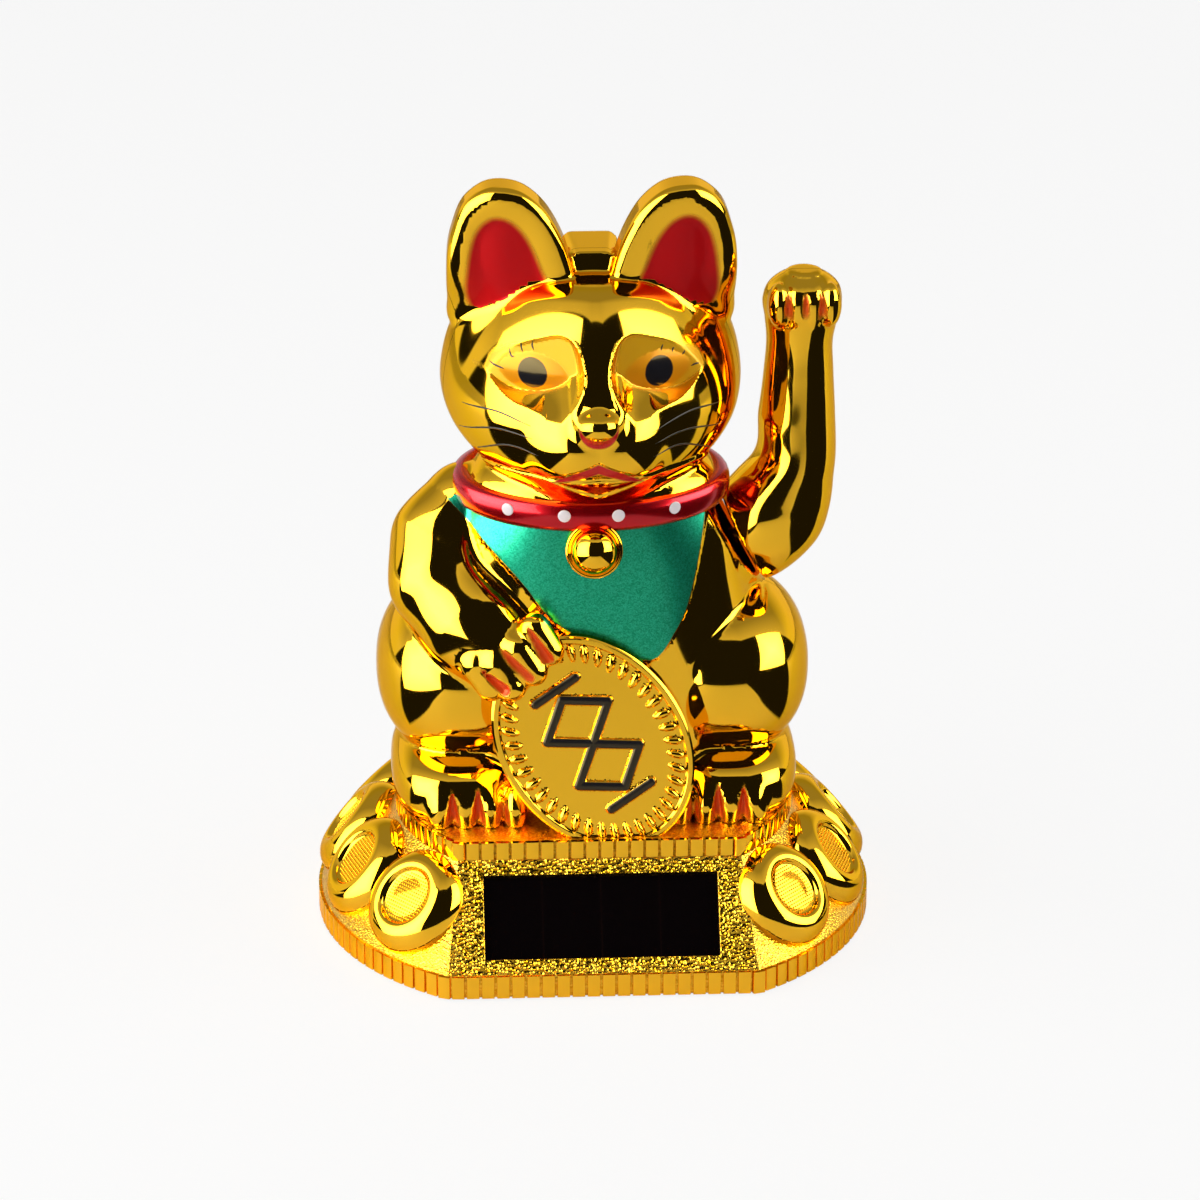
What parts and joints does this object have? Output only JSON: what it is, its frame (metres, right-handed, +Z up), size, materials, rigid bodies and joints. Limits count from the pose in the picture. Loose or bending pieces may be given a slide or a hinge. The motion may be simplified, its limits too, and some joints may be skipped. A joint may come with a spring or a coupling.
{
  "type": "beckoning cat figurine",
  "caption": "Gold plated beckoning cat on a solar base, holding an oval coin, with one raised arm that swings on an axle under a pendulum magnet.",
  "frame": {"origin": "middle of the base's bounding box, on the surface that it stands on", "axes": "+Z up, the cat faces -Y, +X towards the cat's left arm, which swings"},
  "size_m": [0.08, 0.0734, 0.1093],
  "materials": {
    "gold_cat": "ABS with a mirror-bright gold vacuum plating",
    "gold_base": "ABS with a gold vacuum plating, stippled on the slope",
    "cell_glass": "near-black amorphous silicon cell behind glass",
    "board": "green solder mask",
    "white_plastic": "moulded, satin",
    "black_plastic": "moulded, satin",
    "copper_wire": "enamelled copper wire",
    "capacitor_sleeve": "shrink sleeve",
    "red_wire": "PVC insulation",
    "screw_steel": "zinc plated",
    "magnet_nickel": "nickel plated"
  },
  "bodies": {
    "root": {"base_cover": "gold_base", "bottom_plate": "gold_base", "solar_cell": "cell_glass", "circuit_board": "board", "coil_bobbin": "white_plastic", "drive_coil": "copper_wire", "capacitor": "capacitor_sleeve", "transistor": "black_plastic", "lead_red": "red_wire", "lead_black": "black_plastic", "plate_screw_1": "screw_steel", "plate_screw_2": "screw_steel", "plate_screw_3": "screw_steel", "plate_screw_4": "screw_steel", "cat_screw_1": "screw_steel", "cat_screw_2": "screw_steel", "cat_screw_3": "screw_steel", "cat_screw_4": "screw_steel", "board_screw_1": "screw_steel", "board_screw_2": "screw_steel", "cat_front_shell": "gold_cat", "cat_back_shell": "gold_cat"},
    "waving_arm": {"arm_front_half": "gold_cat", "arm_back_half": "gold_cat", "arm_axle": "screw_steel", "pendulum": "white_plastic", "magnet": "magnet_nickel"}
  },
  "joints": [
    {"name": "arm_swing", "type": "hinge", "parent": "root", "child": "waving_arm", "pos_m": [0.0216, 0, 0.0557], "axis": [1, 0, 0], "range_deg": [-15, 15]}
  ]
}
